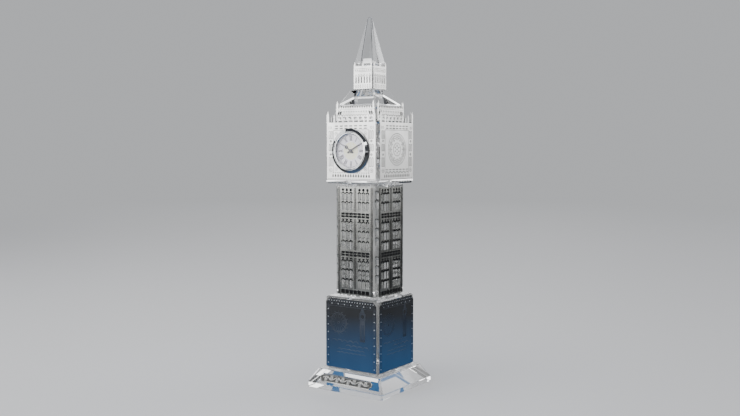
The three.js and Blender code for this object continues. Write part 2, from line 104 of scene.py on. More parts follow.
def vector(tree, x=0.0, y=0.0, z=0.0):
    return shade(tree, "CombineXYZ", {0: x, 1: y, 2: z})


socketKinds = {int: "Int", float: "Float", type(None): "Material"}


def addSockets(tree, defaults):
    for label, default in defaults.items():
        kind = "NodeSocket" + socketKinds[type(default)]
        socket = tree.interface.new_socket(label, in_out="INPUT", socket_type=kind)
        if default is not None:
            socket.default_value = default
    addNode(tree, "NodeGroupOutput")
    return tree, wiresOf(tree, addNode(tree, "NodeGroupInput"))


def newTree(name, sockets):
    tree = bpy.data.node_groups.new(name, "GeometryNodeTree")
    for side in ("OUTPUT", "INPUT"):
        tree.interface.new_socket("Geometry", in_out=side, socket_type="NodeSocketGeometry")
    return addSockets(tree, sockets)


def joinTo(tree, *parts):
    node = addNode(tree, "GeometryNodeJoinGeometry")
    for part in parts:
        tree.links.new(part.socket, node.inputs[0])
    return Wire(tree, node.outputs[0])


gridSockets = {"Across": 1, "Up": 1, "Pitch Across": 0.0, "Pitch Up": 0.0, "Centre": 0.0, "Foot": 0.0}
ringSockets = {"Count": 12, "Radius": 0.01, "Start": 0.0, "Centre": 0.0, "Middle": 0.0}
outlineSockets = {"Width": 0.001, "Height": 0.001, "Head": 0.0, "Point": 1.3, "Round": 0.0, "Steps": 12}
solidSockets = {"Width": 0.001, "Height": 0.001, "Point": 1.4, "Bar": 0.0003, "Level": 0.0, "Metal": None}
# inputs that aren't lengths in millimetres
countInputs = {"Across", "Up", "Count", "Start", "Point", "Round", "Steps", "Scrolls", "Metal"}


# points in rows, counted across and then up
def gridPoints(tree, given):
    index = geo(tree, "InputIndex")
    level = ((index + 0.5) / given["Across"]).calc("FLOOR")
    offset = (index - level * given["Across"] - (given["Across"] - 1.0) * 0.5) * given["Pitch Across"]
    spot = vector(tree, given["Centre"] + offset, given["Foot"] + level * given["Pitch Up"])
    return geo(tree, "Points", {"Count": given["Across"] * given["Up"], "Position": spot}), vector(tree)


# points round a circle, and the turn that sets each one's head outwards
def ringPoints(tree, given):
    angle = (geo(tree, "InputIndex") + given["Start"]) / given["Count"] * fullTurn
    spot = vector(tree, given["Centre"] + given["Radius"] * angle.calc("SINE"),
                  given["Middle"] + given["Radius"] * angle.calc("COSINE"))
    turn = vector(tree, 0.0, 0.0, angle * -1.0)
    return geo(tree, "Points", {"Count": given["Count"], "Position": spot}), turn


def spotParts(tree):
    parts = addNode(tree, "ShaderNodeSeparateXYZ", {0: geo(tree, "InputPosition")})
    return [Wire(tree, socket) for socket in parts.outputs]


# how high a pointed head stands, from 1 in the middle to 0 at its feet
def crownOf(across, point):
    under = (1.0 - across.calc("ABSOLUTE").calc("POWER", point)).calc("MAXIMUM", 0.0)
    return under.calc("POWER", 1.0 / point)


# one opening: a unit circle bent into a window with a pointed head, or left round
def openingOutline(tree, given):
    x, y, _ = spotParts(tree)
    halfWidth, halfHeight = given["Width"] * 0.5, given["Height"] * 0.5
    below = y.calc("LESS_THAN", -0.001)
    above = 1.0 - below
    spread = (x * 1.5).calc("MAXIMUM", -1.0).calc("MINIMUM", 1.0)
    arch = given["Height"] - given["Head"] + given["Head"] * crownOf(x, given["Point"])
    window = vector(tree, (spread * below + x * above) * halfWidth, arch * above)
    oval = vector(tree, x * halfWidth, halfHeight + y * halfHeight)
    outline = shade(tree, "Mix", {0: given["Round"], 4: window, 5: oval}, 1, data_type="VECTOR")
    ring = geo(tree, "CurvePrimitiveCircle", {"Resolution": given["Steps"], "Radius": 1.0})
    return geo(tree, "SetPosition", {"Geometry": ring, "Position": outline})


def roundBar(tree, curve, bar, sides):
    profile = geo(tree, "CurvePrimitiveCircle", {"Resolution": sides, "Radius": bar * 0.5})
    return geo(tree, "CurveToMesh", {"Curve": curve, "Profile Curve": profile, "Fill Caps": True})


def straightPath(tree, start, count):
    line = geo(tree, "CurvePrimitiveLine", {"Start": (start, 0, 0), "End": (1, 0, 0)})
    return geo(tree, "ResampleCurve", {"Curve": line, "Count": count})


# a small arch of round bar, its two feet on the line
def archBar(tree, given):
    x = spotParts(tree)[0]
    bent = vector(tree, x * (given["Width"] * 0.5), given["Height"] * crownOf(x, given["Point"]), given["Level"])
    arch = geo(tree, "SetPosition", {"Geometry": straightPath(tree, -1, 9), "Position": bent})
    return roundBar(tree, arch, given["Bar"], 6)


# a low dome, as wide and high as given and standing out by Bar
def domeStud(tree, given):
    ball = geo(tree, "MeshUVSphere", {"Segments": 10, "Rings": 6, "Radius": 0.5})
    size = vector(tree, given["Width"], given["Height"], given["Bar"] * 2.0)
    return geo(tree, "Transform", {
        "Geometry": ball, "Translation": vector(tree, 0.0, 0.0, given["Level"]), "Scale": size})


def realAndDressed(tree, geometry, finish):
    real = geo(tree, "RealizeInstances", {"Geometry": geometry})
    return geo(tree, "SetMaterial", {"Geometry": real, "Material": finish})


def makePatternTree(name, sockets, pointsOf, shapeOf, solid):
    tree, given = newTree(name, {**sockets, **(solidSockets if solid else outlineSockets)})
    points, turn = pointsOf(tree, given)
    placed = geo(tree, "InstanceOnPoints", {"Points": points, "Instance": shapeOf(tree, given), "Rotation": turn})
    if solid:
        real = realAndDressed(tree, placed, given["Metal"])
    else:
        real = geo(tree, "RealizeInstances", {"Geometry": placed})
    return setResult(tree, joinTo(tree, given["Geometry"], real))


# turns the collected outlines into sheet metal: an outline inside another becomes a hole
def makeSheetTree():
    tree, given = newTree("cutSheet", {"Thickness": 0.0004, "Level": 0.0, "Metal": None})
    filled = geo(tree, "FillCurve", {"Curve": given["Geometry"]})
    raised = geo(tree, "ExtrudeMesh", {"Mesh": filled, "Offset": vector(tree, 0.0, 0.0, 1.0),
                                       "Offset Scale": given["Thickness"], "Individual": False})
    under = geo(tree, "FlipFaces", {"Mesh": filled})
    welded = geo(tree, "MergeByDistance", {"Geometry": joinTo(tree, raised, under), "Distance": weldReach})
    placed = geo(tree, "Transform", {"Geometry": welded, "Translation": vector(tree, 0.0, 0.0, given["Level"])})
    return setResult(tree, realAndDressed(tree, placed, given["Metal"]))


def makeOutlineTree():
    tree, given = newTree("outlineToCurve", {})
    return setResult(tree, geo(tree, "MeshToCurve", {"Mesh": given["Geometry"]}))


def makePatternPair(name, shapeOf, solid):
    return {"rows": makePatternTree(name + "Rows", gridSockets, gridPoints, shapeOf, solid),
            "ring": makePatternTree(name + "Ring", ringSockets, ringPoints, shapeOf, solid)}


openingTrees = makePatternPair("opening", openingOutline, False)
hoodTrees = makePatternPair("hood", archBar, True)
studTrees = makePatternPair("stud", domeStud, True)
sheetTree = makeSheetTree()
outlineTree = makeOutlineTree()


def addTree(holder, tree, values):
    modifier = holder.modifiers.new(tree.name, "NODES")
    modifier.node_group = tree
    names = {item.name: item.identifier for item in tree.interface.items_tree
             if item.item_type == "SOCKET" and item.in_out == "INPUT"}
    for label, value in values.items():
        modifier[names[label]] = value if label in countInputs else value * mm


def addPatterns(holder, trees, patterns, **more):
    for pattern in patterns:
        addTree(holder, trees["ring" if "Count" in pattern else "rows"], {**more, **pattern})


def evaluated(holder):
    bpy.context.view_layer.update()
    made = bpy.data.meshes.new_from_object(holder.evaluated_get(bpy.context.evaluated_depsgraph_get()))
    source = holder.data
    bpy.data.objects.remove(holder)
    bpy.data.meshes.remove(source)
    return made


def addToScene(name, thing):
    added = bpy.data.objects.new(name, thing)
    bpy.context.scene.collection.objects.link(added)
    return added


def newHolder(points, edges):
    mesh = bpy.data.meshes.new("layer")
    mesh.from_pydata(points, edges, [])
    return addToScene("layer", mesh)


# one cut or raised layer of a plate, drawn in millimetres, x across and y up
def sheetLayer(outline, patterns, thickness, level, finish):
    count = len(outline)
    holder = newHolder([(x * mm, y * mm, 0.0) for x, y in outline], [(i, (i + 1) % count) for i in range(count)])
    addTree(holder, outlineTree, {})
    addPatterns(holder, openingTrees, patterns)
    addTree(holder, sheetTree, {"Thickness": thickness, "Level": level, "Metal": finishes[finish]})
    return evaluated(holder)


# a plate with the pale coat on the side that is glued to the crystal
def backedSheet(outline, openings, thickness, finish, coat=0.03):
    return [sheetLayer(outline, openings, coat, 0.0, "paleBacking"),
            sheetLayer(outline, openings, thickness - coat, coat, finish)]


# flat ornament on a plate, each given as its shapes, height and finish
def ornament(level, *shapes):
    return [sheetLayer([], patterns, height, level, finish) for patterns, height, finish in shapes]


# bars or studs laid on a plate
def solidLayer(trees, patterns, level, finish):
    holder = newHolder([], [])
    addPatterns(holder, trees, patterns, Level=level, Metal=finishes[finish])
    return evaluated(holder)


# joins meshes with their materials into one new piece
def joinedPiece(name, meshes, matrix, body, replaced, smooth=None):
    result = bpy.data.meshes.new(name)
    work = bmesh.new()
    used = []
    for part in meshes:
        first = len(work.faces)
        work.from_mesh(part)
        work.faces.ensure_lookup_table()
        for face in work.faces[first:]:
            finish = part.materials[face.material_index]
            if finish not in used:
                used.append(finish)
            face.material_index = used.index(finish)
    bmesh.ops.transform(work, matrix=matrix, verts=work.verts)
    work.to_mesh(result)
    work.free()
    for finish in used:
        result.materials.append(finish)
    if smooth:
        result.polygons.foreach_set("use_smooth", [True] * len(result.polygons))
        result.set_sharp_from_angle(angle=math.radians(smooth))
    ridePiece(addToScene(name, result), body, replaced)


def ridePiece(piece, body, replaced):
    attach(piece, body)
    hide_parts(replaced)


# shader groups shared by the materials

def newGroup(name, inputs, outputs):
    group = bpy.data.node_groups.new(name, "ShaderNodeTree")
    for label in outputs:
        group.interface.new_socket(label, in_out="OUTPUT", socket_type="NodeSocketFloat")
    return addSockets(group, inputs)


def noise(tree, scale, detail, roughness=0.5, spot=None):
    spot = spot or shade(tree, "TexCoord", out="Object")
    return shade(tree, "TexNoise", {"Vector": spot, "Scale": scale, "Detail": detail, "Roughness": roughness})


def cutOff(value, low, high):
    return shade(value.tree, "MapRange", {"Value": value, "From Min": low, "From Max": high})


def mapTo(value, low, high):
    return shade(value.tree, "MapRange", {"Value": value, "To Min": low, "To Max": high})


# soft smudges and fine specks left by handling
def makeHandlingGroup():
    group, given = newGroup("handlingMarks", {"Smudge Scale": 60.0, "Speck Scale": 1500.0, "Speck Share": 0.2},
                            ["Smudge", "Speck"])
    setResult(group, cutOff(noise(group, given["Smudge Scale"], 4.0, 0.6), 0.42, 0.68), "Smudge")
    edge = 0.82 - given["Speck Share"] * 0.3
    return setResult(group, cutOff(noise(group, given["Speck Scale"], 2.0), edge, edge + 0.05), "Speck")


# the frosty bite of etching: a fine uneven grain with slow patches
def makeEtchGroup():
    group, given = newGroup("etchGrain", {"Grain Scale": 4000.0, "Patch Scale": 90.0}, ["Grain", "Patch"])
    setResult(group, noise(group, given["Grain Scale"], 3.0, 0.7), "Grain")
    return setResult(group, noise(group, given["Patch Scale"], 2.0), "Patch")


# faint rolling lines that run up the sheet
def makeRolledGroup():
    group, given = newGroup("rolledLines", {"Line Scale": 900.0, "Stretch": 0.02}, ["Lines"])
    drawn = shade(group, "VectorMath", {0: shade(group, "TexCoord", out="Object"),
                                        1: vector(group, 1.0, 1.0, given["Stretch"])}, operation="MULTIPLY")
    return setResult(group, noise(group, given["Line Scale"], 2.0, spot=drawn), "Lines")


handlingGroup = makeHandlingGroup()
etchGroup = makeEtchGroup()
rolledGroup = makeRolledGroup()


def useGroup(tree, group, values):
    return wiresOf(tree, addNode(tree, "ShaderNodeGroup", values, node_tree=group))


def blendColors(tree, mask, *colors):
    first, second = [color if isinstance(color, Wire) else (*color, 1.0) for color in colors]
    return shade(tree, "Mix", {0: mask, 6: first, 7: second}, 2, data_type="RGBA")


def newMaterial(name):
    material = bpy.data.materials.new(name)
    material.use_nodes = True
    tree = material.node_tree
    return material, tree, tree.nodes["Principled BSDF"]


def setSurface(tree, result):
    setInputs(tree.nodes["Material Output"], {"Surface": result})


def addBump(shader, height, strength, distance):
    setInputs(shader, {"Normal": shade(height.tree, "Bump", {
        "Height": height, "Strength": strength, "Distance": distance})})


# a metal: two close tones by patch, roughness by smudge, and a fine bite
def metalMaterial(name, look):
    material, tree, shader = newMaterial(name)
    marks = useGroup(tree, handlingGroup, {"Smudge Scale": look["smudge"], "Speck Scale": 2500.0})
    etch = useGroup(tree, etchGroup, {"Grain Scale": look["grain"], "Patch Scale": 70.0})
    rolled = useGroup(tree, rolledGroup, {"Line Scale": look["lines"]})
    tone = blendColors(tree, mapTo(etch["Patch"], -0.6, 1.6), look["tone"], look["shade"])
    setInputs(shader, {
        "Metallic": look.get("metallic", 1.0), "Specular IOR Level": look.get("specular", 0.5),
        "Base Color": tone, "Roughness": mapTo(marks["Smudge"], *look["rough"]) + marks["Speck"] * 0.1})
    height = etch["Grain"] * look["bite"] + rolled["Lines"] * (1.0 - look["bite"])
    addBump(shader, height, look["bump"], 0.00002)
    return material


# glass lets the light of the lamps straight through, and so does a ray caught between its faces
def glassMaterial(name, tint, ior, rough):
    material, tree, shader = newMaterial(name)
    marks = useGroup(tree, handlingGroup, {"Smudge Scale": 45.0, "Speck Scale": 1800.0, "Speck Share": 0.1})
    clear = blendColors(tree, marks["Smudge"], tint, tuple(c * 0.985 for c in tint))
    setInputs(shader, {"Base Color": clear, "Roughness": mapTo(marks["Smudge"], 0.0, rough),
                       "Transmission Weight": 1.0, "IOR": ior})
    path = wiresOf(tree, addNode(tree, "ShaderNodeLightPath"))
    caught = path["Glossy Depth"].calc("GREATER_THAN", 1.5)
    passing = shade(tree, "BsdfTransparent", {"Color": (0.98, 0.98, 0.98, 1.0)})
    setSurface(tree, shade(tree, "MixShader", {
        0: path["Is Shadow Ray"].calc("MAXIMUM", caught), 1: Wire(tree, shader.outputs[0]), 2: passing}))
    return material


def plasticMaterial(name, tone, darker, rough, grain):
    material, tree, shader = newMaterial(name)
    marks = useGroup(tree, handlingGroup, {"Smudge Scale": 120.0, "Speck Scale": 2200.0, "Speck Share": 0.5})
    etch = useGroup(tree, etchGroup, {"Grain Scale": grain, "Patch Scale": 200.0})
    color = blendColors(tree, etch["Patch"], tone, darker)
    dusty = blendColors(tree, marks["Speck"] * 0.3, color, (0.4, 0.4, 0.4))
    setInputs(shader, {"Base Color": dusty, "Roughness": mapTo(marks["Smudge"], rough, rough + 0.15)})
    addBump(shader, etch["Grain"], 0.35, 0.00003)
    return material


# tone, darker tone, roughness, then the scales of smudges, grain and lines, the bite and the bump
lookParts = ["tone", "shade", "rough", "smudge", "grain", "lines", "bite", "bump"]
metalLooks = {
    # the mirror's tone is darkened so the plates look like the dark room they reflect: a painted reflection
    "mirror": [(0.40, 0.415, 0.44), (0.36, 0.375, 0.40), (0.05, 0.12), 40.0, 3000.0, 700.0, 0.2, 0.02],
    "mirrorLine": [(0.17, 0.18, 0.2), (0.14, 0.15, 0.17), (0.3, 0.42), 40.0, 5000.0, 700.0, 0.9, 0.3],
    "mirrorDot": [(0.86, 0.87, 0.88), (0.78, 0.79, 0.80), (0.4, 0.5), 40.0, 5000.0, 700.0, 0.9, 0.3],
    "silver": [(0.97, 0.97, 0.955), (0.93, 0.93, 0.92), (0.30, 0.42), 80.0, 5000.0, 1200.0, 0.7, 0.25],
    "silverLine": [(0.25, 0.25, 0.245), (0.20, 0.20, 0.195), (0.45, 0.6), 80.0, 6000.0, 1200.0, 0.9, 0.4],
    "satin": [(0.455, 0.46, 0.44), (0.41, 0.415, 0.395), (0.22, 0.32), 80.0, 6000.0, 1200.0, 0.8, 0.4],
    "slate": [(0.09, 0.09, 0.087), (0.075, 0.075, 0.072), (0.28, 0.4), 80.0, 6000.0, 1200.0, 0.8, 0.4],
    "blackened": [(0.004, 0.004, 0.005), (0.008, 0.008, 0.010), (0.55, 0.7), 80.0, 6000.0, 1200.0, 0.9, 0.4],
    "chrome": [(0.90, 0.91, 0.92), (0.87, 0.88, 0.89), (0.03, 0.07), 120.0, 3000.0, 700.0, 0.5, 0.01],
    "pewter": [(0.74, 0.735, 0.71), (0.62, 0.615, 0.60), (0.26, 0.4), 200.0, 1600.0, 900.0, 1.0, 0.5],
    "pewterDark": [(0.15, 0.15, 0.147), (0.10, 0.10, 0.098), (0.45, 0.6), 200.0, 1600.0, 900.0, 1.0, 0.6],
    "cellSteel": [(0.70, 0.70, 0.71), (0.62, 0.62, 0.63), (0.2, 0.32), 200.0, 3000.0, 900.0, 0.3, 0.2],
    "handInk": [(0.030, 0.030, 0.042), (0.045, 0.045, 0.058), (0.22, 0.32), 200.0, 3000.0, 900.0, 0.3, 0.05],
}
paintedLooks = {"blackened": {"metallic": 0.0, "specular": 0.15}, "handInk": {"metallic": 0.5}}
# tone, darker tone, roughness, grain scale
plasticLooks = {
    "blackPlastic": [(0.022, 0.022, 0.024), (0.032, 0.032, 0.034), 0.42, 2500.0],
    "blackRubber": [(0.012, 0.012, 0.012), (0.02, 0.02, 0.02), 0.72, 1800.0],
    "greyPlastic": [(0.16, 0.165, 0.17), (0.2, 0.2, 0.21), 0.45, 2500.0],
    "dialLilac": [(0.90, 0.885, 0.94), (0.86, 0.845, 0.91), 0.45, 5000.0],
    "dialCream": [(0.93, 0.92, 0.74), (0.90, 0.885, 0.70), 0.5, 5000.0],
    "paleBacking": [(0.80, 0.80, 0.79), (0.74, 0.74, 0.73), 0.5, 2500.0],
    "dialInk": [(0.055, 0.05, 0.075), (0.085, 0.08, 0.105), 0.5, 5000.0],
}
# tint, index of refraction, roughness of the smudges
glassLooks = {"crystal": [(0.985, 0.99, 0.992), 1.52, 0.012], "lensGlass": [(0.99, 0.99, 0.995), 1.3, 0.01]}

finishes = {name: metalMaterial(name, {**dict(zip(lookParts, look)), **paintedLooks.get(name, {})})
            for name, look in metalLooks.items()}
finishes.update({name: plasticMaterial(name, *look) for name, look in plasticLooks.items()})
finishes.update({name: glassMaterial(name, *look) for name, look in glassLooks.items()})
print("materials ready:", len(finishes))


# crystal blocks: the frame's blocks with their sharp edges eased by the polish
crystalPlan = {"ease": {"plinth": 0.4, "lower_block": 0.25, "shaft_block": 0.2, "head_block": 0.25,
                        "tier_block": 0.2, "roof": 0.2, "lantern_block": 0.12, "spire": 0.12},
               "flatAngle": 1.0, "sharpAngle": 20.0}


def crystalPiece(node, ease):
    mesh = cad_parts[node].data.copy()
    work = bmesh.new()
    work.from_mesh(mesh)
    bmesh.ops.remove_doubles(work, verts=work.verts, dist=4 * weldReach)
    flat, steep = math.radians(crystalPlan["flatAngle"]), math.radians(crystalPlan["sharpAngle"])
    bmesh.ops.dissolve_limit(work, angle_limit=flat, verts=work.verts, edges=work.edges)
    sharp = [e for e in work.edges if e.is_manifold and e.calc_face_angle(0.0) > steep]
    bmesh.ops.bevel(work, geom=sharp, offset=ease * mm, segments=2, profile=0.6, affect="EDGES",
                    clamp_overlap=True)
    work.to_mesh(mesh)
    work.free()
    mesh.materials.clear()
    mesh.materials.append(finishes["crystal"])
    ridePiece(addToScene(node + "_crystal", mesh), "tower", node)


for node, ease in crystalPlan["ease"].items():
    crystalPiece(node, ease)
print("crystal blocks made:", len(crystalPlan["ease"]))


# etched plates

shallow, etched, inlaid = 0.02, 0.04, 0.05  # how far faint lines, etched lines and inlay stand out
sunk = 0.05  # how deep a hood's foot sits in its plate


def plateFrame(node):
    low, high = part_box(node)
    return {"half": (high.x - low.x) / 2 / mm, "bottom": low.z / mm, "top": high.z / mm, "back": -high.y}


def placePlates(name, turns, place, layers):
    for turn in turns:
        node = name + "_" + sideNames[turn]
        matrix = (Matrix.Rotation(turn * quarterTurn, 4, "Z") @ Matrix.Translation((0, -place["back"], 0))
                  @ Matrix.Rotation(quarterTurn, 4, "X"))
        joinedPiece(node + "_etched", layers, matrix, "tower", node)
    for layer in layers:
        bpy.data.meshes.remove(layer)


def rectanglePoints(left, foot, right, top):
    return [(left, foot), (right, foot), (right, top), (left, top)]


# an outline whose top edge carries pointed posts, given as (x, width, height)
def crestedPoints(half, bottom, top, posts):
    points = [(-half, bottom), (half, bottom), (half, top)]
    for x, width, height in sorted(posts, reverse=True):
        wide, tip = width / 2, top + height
        waist = tip - min(width * 1.5, height * 0.7)
        points += [(x + wide, top), (x + wide, waist), (x + wide * 0.6, waist + wide * 0.6), (x, tip),
                   (x - wide * 0.6, waist + wide * 0.6), (x - wide, waist), (x - wide, top)]
    return points + [(-half, top)]


def bothSides(*rows):
    return [dict(row, Centre=side * row["Centre"]) for row in rows for side in (-1, 1)]


def row(across, pitch, foot, width, height, **more):
    return {"Across": across, "Pitch Across": pitch, "Foot": foot, "Width": width, "Height": height, **more}


def rising(count, pitch):
    return {"Up": count, "Pitch Up": pitch}


def bar(x, foot, width, height, **more):
    return row(1, 0.0, foot, width, height, Centre=x, **more)


def ring(count, radius, width, height, **more):
    return {"Count": count, "Radius": radius, "Width": width, "Height": height, **more}


def disc(x, y, radius, steps=24):
    return bar(x, y - radius, 2 * radius, 2 * radius, Round=1.0, Steps=steps)


def circleLine(radius, middle, width, x=0.0, steps=64):
    return [disc(x, middle, radius + width / 2, steps), disc(x, middle, radius - width / 2, steps)]


# an outlined slot: a shape with a smaller one inside it
def slotLine(x, foot, width, height, line, **more):
    return [bar(x, foot, width, height, **more),
            bar(x, foot + line, width - 2 * line, height - 2 * line, **more)]


shaftPlan = {
    "base": 0.3, "stripAt": 16.25, "stripWidth": 2.1, "stripHeight": 0.06, "beadHeight": 0.05, "bandHeight": 0.07,
    "group": 8.25, "pitch": 3.95, "bandHalf": 14.5, "bandRib": 0.36, "rounds": 163.2, "wedges": [139.6, 107.9],
    "lights": [[146.6, 6.4], [154.6, 5.7], [114.9, 5.9], [122.9, 6.2], [131.0, 5.4],
               [83.5, 6.0], [91.3, 6.2], [99.3, 5.3]],
    "hoods": [160.0, 152.5, 136.6, 129.0, 120.8, 104.8, 97.3, 89.2],
    "bands": [[140.3, 145.0, 2], [108.7, 113.4, 2], [77.9, 81.9, 1]],
    "mullionSpans": [[145.8, 165.0], [114.2, 139.7], [82.6, 108.1]],
}


def makeShaftPlates(plan):
    place = plateFrame("shaft_plate_front")
    half, bottom, top, base = place["half"], place["bottom"], place["top"], plan["base"]
    group, pitch, spans, edge = plan["group"], plan["pitch"], plan["mullionSpans"], plan["stripAt"]
    lights = [row(3, pitch, foot, 1.05, height, Head=1.1, Point=1.5, Centre=side * group + shift)
              for foot, height in plan["lights"] for shift in (-0.72, 0.72) for side in (-1, 1)]
    strips = bothSides(bar(edge, bottom + 0.4, plan["stripWidth"], top - bottom - 0.8))
    strips += [bar(0.0, low, plan["stripWidth"], high - low) for low, high in spans]
    beads = bothSides(*[bar(edge + shift, bottom + 0.5, 0.22, top - bottom - 1.0) for shift in (-0.5, 0.5)])
    beads += [bar(shift, low + 0.2, 0.22, high - low - 0.4) for low, high in spans for shift in (-0.5, 0.5)]
    layers = backedSheet(rectanglePoints(-half, bottom, half, top), lights, base, "satin")
    layers += ornament(base, (strips, plan["stripHeight"], "slate"))
    layers += ornament(base + plan["stripHeight"], (beads, plan["beadHeight"], "satin"))
    rib, wide = plan["bandRib"], plan["bandHalf"]
    for low, high, rows in plan["bands"]:
        tall = (high - low - rib * (rows + 1)) / rows
        slots = [row(7, 4.05, low + rib, 3.6, tall, Round=0.25, Steps=16, **rising(rows, tall + rib))]
        layers.append(sheetLayer(rectanglePoints(-wide, low, wide, high), slots, plan["bandHeight"], base, "satin"))
        layers += ornament(base, (slots, shallow, "blackened"))
    blacks = [row(3, pitch, plan["rounds"] - 1.2, 2.4, 2.4, Round=1.0, Steps=20, Centre=group)]
    blacks += [row(3, pitch, foot, 2.9, -1.7, Head=-1.7, Point=1.1, Centre=group) for foot in plan["wedges"]]
    hoods = bothSides(*[row(3, pitch, foot, 2.9, 1.3, Bar=1.05, Centre=group) for foot in plan["hoods"]])
    layers += ornament(base, (bothSides(*blacks), inlaid, "blackened"))
    layers.append(solidLayer(hoodTrees, hoods, base, "blackened"))
    placePlates("shaft_plate", range(4), place, layers)


makeShaftPlates(shaftPlan)
print("shaft plates made")


headPlan = {
    "base": 0.32, "rail": 217.6, "clockHeight": 194.7, "clockHole": 17.3, "border": 20.1,
    "posts": [(22.9, 1.7, 9.2), (16.6, 1.3, 6.8), (13.0, 1.0, 4.4), (7.8, 1.0, 4.4), (2.6, 1.0, 4.4)],
    "dashRows": [214.2, 212.2], "panels": [[204.4, 6.6], [194.6, 5.8], [182.2, 7.6]],
    "crosses": [202.6, 191.8], "rosetteAt": 195.9, "rings": [12.8, 11.0, 5.2],
}


def headSheet(plan, place, openings):
    posts = [(side * x, width, height) for x, width, height in plan["posts"] for side in (-1, 1)]
    outline = crestedPoints(place["half"], place["bottom"], plan["rail"], posts)
    return backedSheet(outline, openings, plan["base"], "silver")


# the border that all four head plates share
def headBorderLines(plan, place):
    edge = plan["border"]
    lines = [row(7, 4.75, foot, 3.3, 0.95, Round=0.4, Steps=12) for foot in plan["dashRows"]]
    for foot, height in plan["panels"]:
        for shift in (-1.15, 1.15):
            lines += bothSides(*slotLine(edge + shift, foot, 1.7, height, 0.42, Head=0.6))
    lines += bothSides(*[disc(edge, foot + rise, 0.55, 10) for foot in plan["crosses"] for rise in (-0.5, 0.5)])
    lines += bothSides(*[disc(edge + shift, foot, 0.55, 10) for foot in plan["crosses"] for shift in (-0.6, 0.6)])
    lines += bothSides(*circleLine(1.5, 179.2, 0.35, edge, 24), disc(edge, 179.2, 0.55, 12))
    lines += bothSides(*circleLine(0.9, 213.3, 0.3, edge, 20), bar(22.2, 212.0, 0.3, 2.6))
    lines += bothSides(bar(17.3, 177.6, 0.36, 33.8))
    return lines + [bar(0.0, 211.2, 34.9, 0.36), bar(0.0, place["bottom"] + 0.5, 46.6, 0.35)]


def makeHeadPlates(plan):
    place = plateFrame("head_plate_front")
    base, middle = plan["base"], plan["rosetteAt"]
    teeth = [row(15, 2.55, place["bottom"] + 2.2, 1.3, 2.6, Head=1.3, Point=1.2)]
    corners = []
    for x, y in ((14.6, 208.6), (14.6, 180.2)):
        corners += bothSides(*circleLine(1.35, y, 0.3, x, 24), disc(x, y, 0.5, 12))
    corners += bothSides(row(6, 2.2, 176.9, 1.5, 0.6, Round=0.4, Centre=12.0))
    layers = headSheet(plan, place, [disc(0.0, plan["clockHeight"], plan["clockHole"], 96)])
    layers += ornament(base, (headBorderLines(plan, place), etched, "silverLine"), (teeth, inlaid, "blackened"),
                       (corners, etched, "silverLine"))
    placePlates("head_plate", [0], place, layers)

    eye = [ring(6, 2.2, 1.2, 1.9, Middle=middle, Head=1.3, Point=1.6), disc(0.0, middle, 0.8, 16)]
    lines = headBorderLines(plan, place)
    for radius in plan["rings"]:
        lines += circleLine(radius, middle, 0.45)
    lines += [ring(12, 7.4, 1.35, 1.35, Middle=middle, Round=1.0),
              ring(24, 11.6, 0.45, 0.6, Middle=middle, Round=1.0, Steps=8),
              row(7, 4.9, 179.4, 3.5, 0.8, Round=0.5, Steps=12)]
    hoods = [ring(12, 8.4, 4.0, 1.5, Middle=middle, Bar=0.5, Point=2.0),
             row(7, 4.9, 176.9, 4.2, 1.5, Bar=0.6, Point=1.2)]
    layers = headSheet(plan, place, eye)
    layers += ornament(base, (lines, etched, "silverLine"), (teeth, inlaid, "silverLine"))
    layers.append(solidLayer(hoodTrees, hoods, base - sunk, "silverLine"))
    placePlates("head_plate", [1, 2, 3], place, layers)


makeHeadPlates(headPlan)
print("head plates made")


tierPlan = {"base": 0.3, "rail": 229.0, "merlons": 14, "merlonPitch": 2.314, "posts": (17.8, 1.3, 6.1)}


def makeTierPlates(plan):
    place = plateFrame("tier_plate_front")
    base, foot, rail = plan["base"], place["bottom"], plan["rail"]
    x, width, height = plan["posts"]
    posts = [(side * x, width, height) for side in (-1, 1)]
    posts += [((i - (plan["merlons"] - 1) / 2) * plan["merlonPitch"], 1.3, 1.9) for i in range(plan["merlons"])]
    openings = [row(7, 5.2, foot + 0.9, 3.2, 2.1, Round=0.25, Steps=20)]
    lines = [row(14, 2.45, foot + 6.6, 1.1, 1.5, Head=0.7), bar(0.0, foot + 8.9, 36.4, 0.25),
             bar(0.0, foot + 5.9, 36.4, 0.2)]
    darks = bothSides(*[bar(at, foot + 4.9, 1.5, 2.8, Head=1.2) for at in (14.5, 16.5)])
    darks += bothSides(row(2, 1.8, foot + 8.1, 0.8, 0.6, Centre=15.5, Round=1.0, Steps=10))
    hoods = [row(14, 2.6, foot + 3.7, 2.2, 1.3, Bar=0.5, Point=1.7)]
    layers = backedSheet(crestedPoints(place["half"], foot, rail, posts), openings, base, "silver")
    layers.append(sheetLayer(rectanglePoints(-17.0, rail + 0.02, 17.0, rail + 1.7), [], 0.06, shallow, "slate"))
    layers += ornament(base, (lines, etched, "silverLine"), (darks, inlaid, "blackened"))
    layers.append(solidLayer(hoodTrees, hoods, base - sunk, "silverLine"))
    placePlates("tier_plate", range(4), place, layers)


makeTierPlates(tierPlan)


lanternPlan = {"base": 0.3, "rail": 263.5, "lights": 6, "pitch": 2.75,
               "posts": [(8.1, 1.1, 3.4), (-8.1, 1.1, 3.4), (0.0, 1.4, 3.0)]}


